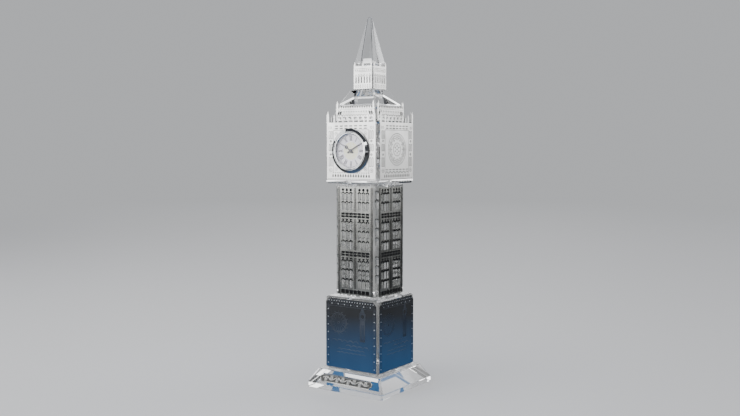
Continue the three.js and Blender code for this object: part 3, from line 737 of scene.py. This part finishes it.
def makeLanternPlates(plan):
    place = plateFrame("lantern_plate_front")
    base, across, pitch = plan["base"], plan["lights"], plan["pitch"]
    outline = crestedPoints(place["half"], place["bottom"], plan["rail"], plan["posts"])
    lines = [bar(0.0, 261.2, 15.6, 0.3), bar(0.0, 258.8, 15.6, 0.3), bar(0.0, 246.9, 15.6, 0.2),
             row(9, 1.8, 259.6, 0.8, 1.1, Head=0.6)]
    lines += [row(7, 2.3, level, 0.9, 0.9, Round=1.0) for level in (247.5, 245.7)]
    layers = backedSheet(outline, [row(across, pitch, 249.5, 1.15, 6.4, Head=2.2, Point=1.2)], base, "silver")
    layers += ornament(base, (lines, etched, "silverLine"))
    layers += ornament(shallow, ([row(across, pitch, 250.0, 0.85, 5.4, Head=1.8, Point=1.2)], shallow, "blackened"))
    hoods = [row(across, pitch, 255.0, 2.1, 1.9, Bar=0.34, Point=1.1)]
    layers.append(solidLayer(hoodTrees, hoods, base - sunk, "silverLine"))
    placePlates("lantern_plate", range(4), place, layers)


makeLanternPlates(lanternPlan)
print("tier and lantern plates made")


mirrorPlan = {"base": 0.36, "clip": 3.4, "edge": 1.9, "dotPitch": 6.4, "beadPitch": 2.6, "dots": 8,
              "wheelAt": (-12.5, 37.5), "towerAt": 11.5}


def makeMirrorPlates(plan):
    place = plateFrame("mirror_plate_front")
    half, foot, top, clip, base = place["half"], place["bottom"], place["top"], plan["clip"], plan["base"]
    outline = [(-half, foot), (half, foot), (half, top - clip), (half - clip, top), (clip - half, top),
               (-half, top - clip)]
    column, upward = half - plan["edge"], rising(plan["dots"], plan["dotPitch"])
    dots = bothSides(bar(column, foot + 2.6, 0.95, 0.95, Round=1.0, Steps=12, **upward))
    dots += [row(18, plan["beadPitch"], top - 2.3, 0.85, 0.85, Round=1.0, Steps=10),
             row(7, 6.4, top - 4.9, 0.95, 0.95, Round=1.0, Steps=12)]
    lines = bothSides(bar(column, foot + 4.4, 0.4, 3.4, **upward),
                      *[bar(column + shift, foot + 1.2, 0.2, top - foot - 7.0) for shift in (-1.1, 1.1)])
    lines += [bar(0.0, top - 1.0, 40.0, 0.25), bar(0.0, top - 6.2, 42.0, 0.25),
              row(17, 2.6, top - 3.6, 1.4, 0.4, Round=0.5), row(6, 6.4, top - 4.7, 3.4, 0.4, Round=0.4)]
    trees = [row(5, 5.4, foot + 22.0, 5.0, 1.6, Bar=0.26, Point=2.0, Centre=-6.0),
             row(4, 5.8, foot + 18.5, 5.4, 1.5, Bar=0.26, Point=2.0, Centre=6.0),
             row(6, 4.6, foot + 15.6, 4.2, 0.9, Bar=0.22, Point=2.0),
             row(7, 4.2, foot + 12.8, 3.8, 0.8, Bar=0.22, Point=2.0)]
    # the mirror finish's darkened tone is a painted reflection of a dark room
    layers = backedSheet(outline, [], base, "mirror")
    layers += ornament(base, (dots, etched, "mirrorDot"), (lines, 0.03, "mirrorLine"),
                       (mirrorScene(plan, foot), shallow, "mirrorLine"))
    layers.append(solidLayer(hoodTrees, trees, base - etched, "mirrorLine"))
    placePlates("mirror_plate", range(4), place, layers)


# a faint park scene: a big wheel and a slim tower
def mirrorScene(plan, foot):
    x, y = plan["wheelAt"][0], foot + plan["wheelAt"][1]
    lines = circleLine(8.0, y, 0.5, x, 48) + circleLine(6.9, y, 0.25, x, 48) + [disc(x, y, 0.9, 12)]
    lines += [ring(16, 3.9, 0.18, 2.6, Centre=x, Middle=y, Head=0.0),
              ring(16, 8.9, 0.8, 0.8, Centre=x, Middle=y, Round=1.0, Steps=10)]
    x = plan["towerAt"]
    return lines + [bar(x, foot + 24.0, 5.0, 18.0), bar(x, foot + 42.2, 6.0, 5.0),
                    bar(x, foot + 47.4, 4.4, 5.6, Head=5.4, Point=1.0), disc(x, foot + 44.7, 1.7, 20),
                    row(3, 1.3, foot + 26.0, 0.6, 12.0, Centre=x)]


makeMirrorPlates(mirrorPlan)
print("mirror plates made")


# name plate on the front slope: a cast bar with a running scroll
namePlan = {"shift": 0.8, "rise": -0.6, "length": 51.6, "height": 7.0, "thickness": 1.0, "gap": 0.3,
            "endShare": 0.62, "rim": 0.55, "scrolls": 8, "slopeTop": 15.2, "slopeFoot": 4.2, "slopeTopHalf": 30.75}


def makeScrollTree():
    tree, given = newTree("runningScroll", {"Length": 0.044, "Scrolls": 10, "Wave": 0.0009, "Curl": 0.0012,
                                            "Bar": 0.0005, "Level": 0.0, "Metal": None})
    share = spotParts(tree)[0]
    stem = geo(tree, "SetPosition", {"Geometry": straightPath(tree, 0, 161), "Position": vector(
        tree, (share - 0.5) * given["Length"], (share * given["Scrolls"] * math.pi).calc("SINE") * given["Wave"],
        given["Level"])})
    spiral = geo(tree, "CurveSpiral", {"Resolution": 20, "Rotations": 1.35, "Start Radius": given["Curl"] * 0.28,
                                       "End Radius": given["Curl"], "Height": 0.0})
    bud = geo(tree, "MeshUVSphere", {"Segments": 10, "Rings": 6, "Radius": given["Bar"] * 0.8})
    index = geo(tree, "InputIndex")
    side = 1.0 - index.calc("MODULO", 2.0) * 2.0
    spot = vector(tree, ((index + 0.5) / given["Scrolls"] - 0.5) * given["Length"], side * given["Wave"] * -0.55,
                  given["Level"])
    placed = geo(tree, "InstanceOnPoints", {
        "Points": geo(tree, "Points", {"Count": given["Scrolls"], "Position": spot}),
        "Instance": joinTo(tree, roundBar(tree, spiral, given["Bar"], 8), bud),
        "Rotation": vector(tree, 0.0, 0.0, (1.0 - side) * quarterTurn)})
    both = joinTo(tree, given["Geometry"], roundBar(tree, stem, given["Bar"], 8), placed)
    return setResult(tree, realAndDressed(tree, both, given["Metal"]))


def barOutline(half, rise, end):
    arc = [math.pi * (i / 10 - 0.5) for i in range(11)]
    return ([(-half + end, -rise), (half - end, -rise)]
            + [(half - end + end * math.cos(a), end * math.sin(a)) for a in arc]
            + [(half - end, rise), (-half + end, rise)]
            + [(-half + end - end * math.cos(a), -end * math.sin(a)) for a in arc])


# a raised rim between two outlines with the same number of points
def rimMesh(outer, inner, thickness, level, finish):
    mesh = bpy.data.meshes.new("rim")
    count = len(outer)
    crest = [((a + c) / 2, (b + d) / 2) for (a, b), (c, d) in zip(outer, inner)]
    rings = ((outer, 0.0), (outer, 0.7), (crest, 1.0), (inner, 0.55), (inner, 0.0))
    points = [(x * mm, y * mm, (level + thickness * share) * mm) for line, share in rings for x, y in line]
    faces = [(r * count + i, r * count + (i + 1) % count, (r + 1) % 5 * count + (i + 1) % count,
              (r + 1) % 5 * count + i) for r in range(5) for i in range(count)]
    mesh.from_pydata(points, [], faces)
    mesh.materials.append(finishes[finish])
    return mesh


def makeNamePlate(plan):
    low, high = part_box("plinth")
    run, rise = high.y / mm - plan["slopeTopHalf"], plan["slopeTop"] - plan["slopeFoot"]
    slope = math.atan2(rise, run)
    outward = Vector((0, -math.sin(slope), math.cos(slope)))
    upward = Vector((0, math.cos(slope), math.sin(slope)))
    middle = Vector((plan["shift"], run / 2 + low.y / mm, plan["slopeFoot"] + rise / 2))
    spot = (middle + outward * plan["gap"] + upward * plan["rise"]) * mm
    matrix = Matrix.Translation(spot) @ Matrix.Rotation(slope, 4, "X")
    halfLength, halfHeight = plan["length"] / 2, plan["height"] / 2
    end, rim, thick = halfHeight * plan["endShare"], plan["rim"], plan["thickness"]
    outer = barOutline(halfLength, halfHeight, end)
    inner = barOutline(halfLength - rim, halfHeight - rim, end - rim * 0.3)
    holder = newHolder([], [])
    addTree(holder, makeScrollTree(), {
        "Length": plan["length"] - 6.4, "Scrolls": plan["scrolls"], "Wave": 1.3, "Curl": 1.75, "Bar": 0.8,
        "Level": thick * 0.66, "Metal": finishes["pewter"]})
    beads = [row(44, 1.06, y - 0.3, 0.5, 0.5, Bar=0.12) for y in (halfHeight - 0.9, 0.9 - halfHeight)]
    parts = [sheetLayer(outer, [], thick * 0.62, 0.0, "pewterDark"),
             rimMesh(outer, inner, thick * 0.38, thick * 0.62, "pewter"), evaluated(holder),
             solidLayer(studTrees, beads, thick * 0.64, "pewter")]
    joinedPiece("name_plate_cast", parts, matrix, "tower", "name_plate", 40)


makeNamePlate(namePlan)
print("name plate made")


# clock insert, drawn in the clock's own frame: x across, y up, z out of the head
clockPlan = {"axisHeight": 194.7, "face": 26.1, "minuteHandAt": 2.0, "hourHandAt": 10 + 1 / 6}
clockMatrix = (Matrix.Translation((0, -clockPlan["face"] * mm, clockPlan["axisHeight"] * mm))
               @ Matrix.Rotation(quarterTurn, 4, "X"))


def turnedMesh(profile, finish, steps=96, radiusOf=None):
    mesh = bpy.data.meshes.new("turned")
    count = len(profile)
    points = []
    for i in range(steps):
        angle = fullTurn * i / steps
        for j, (radius, z) in enumerate(profile):
            reach = radiusOf(radius, j, i) if radiusOf else radius
            points.append((reach * math.cos(angle) * mm, reach * math.sin(angle) * mm, z * mm))
    faces = [(i * count + j, (i + 1) % steps * count + j, (i + 1) % steps * count + (j + 1) % count,
              i * count + (j + 1) % count) for i in range(steps) for j in range(count)]
    mesh.from_pydata(points, [], faces)
    work = bmesh.new()
    work.from_mesh(mesh)
    bmesh.ops.remove_doubles(work, verts=work.verts, dist=weldReach)
    bmesh.ops.recalc_face_normals(work, faces=work.faces)
    work.to_mesh(mesh)
    work.free()
    mesh.materials.append(finishes[finish])
    return mesh


def arcPoints(centre, radii, start, end, steps):
    angles = [math.radians(start + (end - start) * i / steps) for i in range(steps + 1)]
    return [(centre[0] + radii[0] * math.cos(a), centre[1] + radii[1] * math.sin(a)) for a in angles]


def clockPiece(name, meshes, node, smooth=35, body="clock_unit"):
    joinedPiece(name, meshes, clockMatrix, body, node, smooth)


# a broad low cone outside, a thin groove, then a flat ring and a short slope to the glass
bezelProfile = [
    (15.1, 0.4), (15.1, 1.0), (17.85, 1.0), (17.98, 1.15), (17.98, 1.98), (17.93, 2.1), (17.82, 2.18), (17.66, 2.24),
    (15.6, 2.99), *arcPoints((15.35, 2.82), (0.3, 0.24), 60, 120, 3), (15.0, 2.9), (14.92, 2.82), (14.84, 2.86),
    (14.7, 2.96), (14.15, 2.98), (14.0, 2.94), (13.6, 2.72), (13.5, 2.62), (13.5, 2.55), (14.5, 2.55), (14.5, 0.4)]
lensPlan = {"edge": 14.1, "dome": 0.22, "back": 1.6, "front": 2.28}


def makeBezelAndLens(plan):
    clockPiece("clock_bezel_ring", [turnedMesh(bezelProfile, "chrome", 160)], "clock_bezel")
    edge, back, front, dome = plan["edge"], plan["back"], plan["front"], plan["dome"]
    profile = [(0.0, back + 0.02), (edge - 0.1, back), (edge, back + 0.1),
               *arcPoints((0.0, front), (edge, dome), 0, 90, 10)[:-1], (0.0, front + dome)]
    clockPiece("clock_lens_glass", [turnedMesh(profile, "lensGlass")], "clock_lens")


dialPlan = {"disc": 15.1, "hole": 1.5, "face": 0.2, "cream": 7.1, "numeralFrom": 8.1, "numeralTo": 12.4,
            "track": 12.7, "trackWidth": 0.75}
numerals = ["XII", "I", "II", "III", "IIII", "V", "VI", "VII", "VIII", "IX", "X", "XI"]
strokeLooks = {"I": [(0.0, 0.0, 0.5)], "V": [(-0.42, 0.0, 0.5), (0.42, 0.0, 0.3)],
               "X": [(-0.5, 0.5, 0.5), (0.5, -0.5, 0.28)]}
strokeWidths = {"I": 0.7, "V": 1.2, "X": 1.25}


# each numeral is a row of slanted strokes, its foot towards the centre
def numeralMesh(plan):
    mesh = bpy.data.meshes.new("numerals")
    points, faces = [], []
    foot, top, face = plan["numeralFrom"], plan["numeralTo"], plan["face"]
    for hour, numeral in enumerate(numerals):
        turn = Matrix.Rotation(-fullTurn * hour / 12, 3, "Z")
        cursor = -sum(strokeWidths[letter] for letter in numeral) / 2
        for letter in numeral:
            middle = cursor + strokeWidths[letter] / 2
            cursor += strokeWidths[letter]
            for topShift, footShift, width in strokeLooks[letter]:
                quad = [(middle + footShift - width / 2, foot), (middle + footShift + width / 2, foot),
                        (middle + topShift + width / 2, top), (middle + topShift - width / 2, top)]
                first = len(points)
                points += [turn @ Vector((x, y, z)) * mm for z in (face, face + 0.03) for x, y in quad]
                faces += [(first + 3, first + 2, first + 1, first), (first + 4, first + 5, first + 6, first + 7)]
                faces += [(first + i, first + (i + 1) % 4, first + 4 + (i + 1) % 4, first + 4 + i)
                          for i in range(4)]
    mesh.from_pydata(points, [], faces)
    mesh.materials.append(finishes["dialInk"])
    return mesh


def makeDial(plan):
    face, hole, track = plan["face"], plan["hole"], plan["track"]
    rings = [line for radius in (track, track + plan["trackWidth"]) for line in circleLine(radius, 0.0, 0.1, 0.0, 96)]
    parts = [turnedMesh(tubeProfile(hole, plan["disc"], -face, face), "dialLilac"),
             turnedMesh(tubeProfile(hole + 0.05, plan["cream"], face - 0.01, face + 0.025), "dialCream"),
             *ornament(face, (rings, 0.03, "dialInk"),
                       ([ring(60, track + 0.08, 0.12, 0.6, Steps=6)], 0.032, "dialInk"),
                       ([ring(12, track + 0.08, 0.34, 0.62, Steps=6)], 0.034, "dialInk")), numeralMesh(plan)]
    clockPiece("clock_dial_face", parts, "clock_dial", 30)


handPlan = {
    "minute": {"length": 12.4, "width": 1.1, "tail": 2.4, "blob": 0.85, "moon": None, "level": 1.05, "hub": 1.2},
    "hour": {"length": 8.6, "width": 0.95, "tail": 2.1, "blob": 0.85, "moon": 5.2, "level": 0.5, "hub": 1.2},
    "thickness": 0.25,
}


def makeHand(body, plan, hours, turned):
    wide, long, level, thick = plan["width"] / 2, plan["length"], plan["level"], handPlan["thickness"]
    blade = [(-wide, -plan["tail"]), (wide, -plan["tail"]), (wide * 1.1, 0.0), (wide * 0.8, long * 0.7),
             (wide * 0.35, long * 0.93), (0.0, long), (-wide * 0.35, long * 0.93), (-wide * 0.8, long * 0.7),
             (-wide * 1.1, 0.0)]
    rounds = [[disc(0.0, -plan["tail"], plan["blob"], 24)]]
    if plan["moon"]:
        rounds.append(circleLine(1.12, plan["moon"], 0.7, 0.0, 32))
    parts = [sheetLayer(blade, [], thick, level, "handInk")]
    parts += [sheetLayer([], shape, thick * 1.02, level, "handInk") for shape in rounds]
    parts += [turnedMesh(profile, "handInk", 40) for profile in turned]
    turn = Matrix.Rotation(-fullTurn * hours / 12, 4, "Z")
    joinedPiece(body + "_hand_blade", parts, clockMatrix @ turn, body, body + "_hand", 35)


def tubeProfile(inner, outer, low, high):
    return [(inner, low), (outer, low), (outer, high), (inner, high)]


def makeHands(plan):
    minute, hour, thick = plan["minute"], plan["hour"], plan["thickness"]
    level, hub, top = minute["level"], minute["hub"], minute["level"] + thick
    cap = [(0.0, level - 0.02), (hub, level - 0.02), (hub, top + 0.02), (0.75, top + 0.12), (0.0, top + 0.16)]
    makeHand("minute", minute, clockPlan["minuteHandAt"], [cap, tubeProfile(0.0, 0.4, -4.1, level)])
    makeHand("hour", hour, clockPlan["hourHandAt"], [tubeProfile(0.7, hour["hub"], -2.7, hour["level"] + thick)])


# cup, back cover and cell as profiles of (radius, z)
casePlan = {
    "wall": [(15.4, -12.5), (15.9, -12.5), (16.1, -12.3), (16.1, 0.5), (16.0, 0.7), (15.4, 0.7)],
    "lugs": ring(3, 15.25, 2.4, 0.5, Start=0.25, Bar=0.3),
    "cover": [(1.5, -12.5), (3.9, -12.5), (4.1, -12.3), (4.6, -12.3), (4.8, -12.5), (14.3, -12.5), (14.6, -12.35),
              (15.1, -12.35), (15.1, -11.5), (1.5, -11.5)],
    "screws": ring(3, 10.4, 2.3, 2.3, Start=0.5, Bar=0.14), "ribs": ring(24, 13.1, 0.5, 0.9, Steps=8),
    "cell": [(0.0, -8.5), (2.9, -8.5), (3.2, -8.35), (3.4, -8.1), (3.4, -6.3), (3.0, -6.2), (2.8, -5.9), (0.0, -5.9)],
    "cellAt": 5.4,
}


def makeCase(plan):
    lugs = solidLayer(studTrees, [plan["lugs"]], 0.4, "blackPlastic")
    clockPiece("clock_case_shell", [turnedMesh(plan["wall"], "blackPlastic"), lugs], "clock_case")


def makeBackCover(plan):
    cover = [turnedMesh(plan["cover"], "blackPlastic"), solidLayer(studTrees, [plan["screws"]], -12.45, "cellSteel"),
             sheetLayer([], [plan["ribs"]], 0.12, -12.6, "blackPlastic")]
    clockPiece("clock_back_cover_disc", cover, "clock_back_cover")


def makeCell(plan):
    cell = turnedMesh(plan["cell"], "cellSteel", 64)
    cell.transform(Matrix.Translation((plan["cellAt"] * mm, 0, 0)))
    clockPiece("battery_cell_can", [cell], "battery_cell")


gasketPlan = {"inner": 16.4, "outer": 17.0, "rib": 0.3, "front": -1.2, "length": 8.0, "ribs": 3, "steps": 36}


def makeGasket(plan):
    inner, front, length, steps = plan["inner"], plan["front"], plan["length"], plan["steps"]
    profile = [(inner, front - length), (inner, front)]
    for i in range(steps + 1):
        wave = (1 - math.cos(fullTurn * plan["ribs"] * i / steps)) / 2
        profile.append((plan["outer"] - plan["rib"] * (1 - wave), front - length * i / steps))
    clockPiece("clock_gasket_ribbed", [turnedMesh(profile, "blackRubber")], "clock_gasket", 50)


knobPlan = {"radius": 3.4, "flutes": 16, "depth": 0.35, "shaft": 1.2, "fluted": (1, 2, 3, 4)}


def makeKnob(plan):
    radius, shaft, steps = plan["radius"], plan["shaft"], plan["flutes"] * 8
    head = [(0.0, -15.0), (radius - 0.4, -15.0), (radius, -14.7), (radius, -12.95), (radius - 0.2, -12.8),
            (shaft, -12.8), (shaft, -6.95), (shaft - 0.2, -6.9), (0.0, -6.9)]

    def fluted(reach, j, i):
        if j not in plan["fluted"]:
            return reach
        return reach - plan["depth"] * (0.5 - 0.5 * math.cos(fullTurn * plan["flutes"] * i / steps)) ** 2

    clockPiece("setting_knob_fluted", [turnedMesh(head, "blackRubber", steps, fluted)], "setting_knob",
               60, "knob")


makeBezelAndLens(lensPlan)
makeDial(dialPlan)
makeHands(handPlan)
makeCase(casePlan)
makeGasket(gasketPlan)
makeBackCover(casePlan)
makeKnob(knobPlan)
makeCell(casePlan)
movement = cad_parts["clock_movement"]
movement.data.materials.clear()
movement.data.materials.append(finishes["greyPlastic"])
print("clock insert made")


# floor, light and camera; what metal and glass reflect has its own darker tones
studioPlan = {
    "air": (0.66, 0.67, 0.69), "airSeen": (0.50, 0.51, 0.525), "airInside": (0.60, 0.61, 0.625),
    "airInGloss": (0.055, 0.058, 0.066), "floor": (0.62, 0.625, 0.64), "floorReach": 30.0, "fade": (1.0, 2.8),
    "flagFar": (0.027, 0.029, 0.032), "flagNear": (0.018, 0.125, 0.31), "flagReach": 4.0, "flagHole": 0.046,
    "flagFade": (0.10, 0.34), "sheetGap": 0.0002, "lampsLookAt": (0, 0, 0.17),
    "cameraAt": (0.4194, -0.5978, 0.1969), "cameraTurn": 35.05, "cameraPitch": 3.87, "lens": 43.0,
    # place, width and height, power
    "lamps": {"leftBox": [(-0.50, -0.98, 0.33), (1.3, 0.44), 7.0], "sideBox": [(-1.0, -0.42, 0.62), (0.5, 0.4), 0.9],
              "backBox": [(1.5, 1.9, 0.72), (1.6, 1.1), 15.0], "rearBox": [(-1.8, 2.4, 0.95), (2.4, 1.6), 16.0],
              "topBox": [(0.0, -0.3, 1.2), (1.0, 1.0), 9.0]},
}


def stageSheet(name, reach, hole, level, color, rough):
    mesh = bpy.data.meshes.new(name)
    points = [(x * size, y * size, level) for size in (reach, hole) for x, y in ((-1, -1), (1, -1), (1, 1), (-1, 1))]
    mesh.from_pydata(points, [], [(i, (i + 1) % 4, 4 + (i + 1) % 4, 4 + i) for i in range(4)])
    sheet = addToScene(name, mesh)
    material, tree, shader = newMaterial(name + "Paint")
    setInputs(shader, {"Base Color": (*color, 1), "Roughness": rough})
    mesh.materials.append(material)
    return sheet, tree, shader


# how far out a spot of the floor is, from 0 to 1 between two distances
def farShare(tree, between, **settings):
    reach = shade(tree, "VectorMath", {0: shade(tree, "TexCoord", out="Object")}, "Value", operation="LENGTH")
    return shade(tree, "MapRange", {"Value": reach, "From Min": between[0], "From Max": between[1]}, **settings)


# the floor fades into the air far off; the dark flag is only seen in reflections and gives the metal contrast
def addFloor(plan):
    floor, tree, shader = stageSheet("studioFloor", plan["floorReach"], 0.0, -plan["sheetGap"], plan["floor"], 0.6)
    haze = shade(tree, "Emission", {"Color": (*plan["airSeen"], 1.0)})
    setSurface(tree, shade(tree, "MixShader", {
        0: farShare(tree, plan["fade"], interpolation_type="SMOOTHSTEP"), 1: Wire(tree, shader.outputs[0]), 2: haze}))
    flag, tree, shader = stageSheet("darkFlag", plan["flagReach"], plan["flagHole"], plan["sheetGap"],
                                    plan["flagFar"], 1.0)
    setInputs(shader, {"Base Color": blendColors(tree, farShare(tree, plan["flagFade"]), plan["flagNear"],
                                                 plan["flagFar"])})
    flag.visible_camera = False
    flag.visible_diffuse = False
    flag.visible_transmission = False
    flag.visible_shadow = False


def addLamp(name, spot, target, size, power):
    data = bpy.data.lights.new(name, "AREA")
    data.shape = "RECTANGLE"
    data.size, data.size_y = size
    data.energy = power
    lamp = addToScene(name, data)
    lamp.location = spot
    lamp.rotation_euler = (Vector(target) - Vector(spot)).to_track_quat("-Z", "Y").to_euler()
    lamp.visible_camera = False


def addAir(plan):
    world = bpy.data.worlds.new("studioAir")
    bpy.context.scene.world = world
    world.use_nodes = True
    tree = world.node_tree
    path = wiresOf(tree, addNode(tree, "ShaderNodeLightPath"))
    outside = path["Transmission Depth"].calc("LESS_THAN", 0.5)
    gloss = blendColors(tree, outside, plan["airInside"], plan["airInGloss"])
    shown = blendColors(tree, path["Is Camera Ray"], plan["air"], plan["airSeen"])
    setInputs(tree.nodes["Background"], {"Color": blendColors(tree, path["Is Glossy Ray"], shown, gloss)})


def addCamera(plan):
    data = bpy.data.cameras.new("studioCamera")
    data.sensor_width = 36.0
    data.lens = plan["lens"]
    camera = addToScene("studioCamera", data)
    camera.location = plan["cameraAt"]
    camera.rotation_euler = (math.radians(90 - plan["cameraPitch"]), 0, math.radians(plan["cameraTurn"]))
    bpy.context.scene.camera = camera


addAir(studioPlan)
addFloor(studioPlan)
for name, (spot, size, power) in studioPlan["lamps"].items():
    addLamp(name, spot, studioPlan["lampsLookAt"], size, power)
addCamera(studioPlan)
print("studio ready")
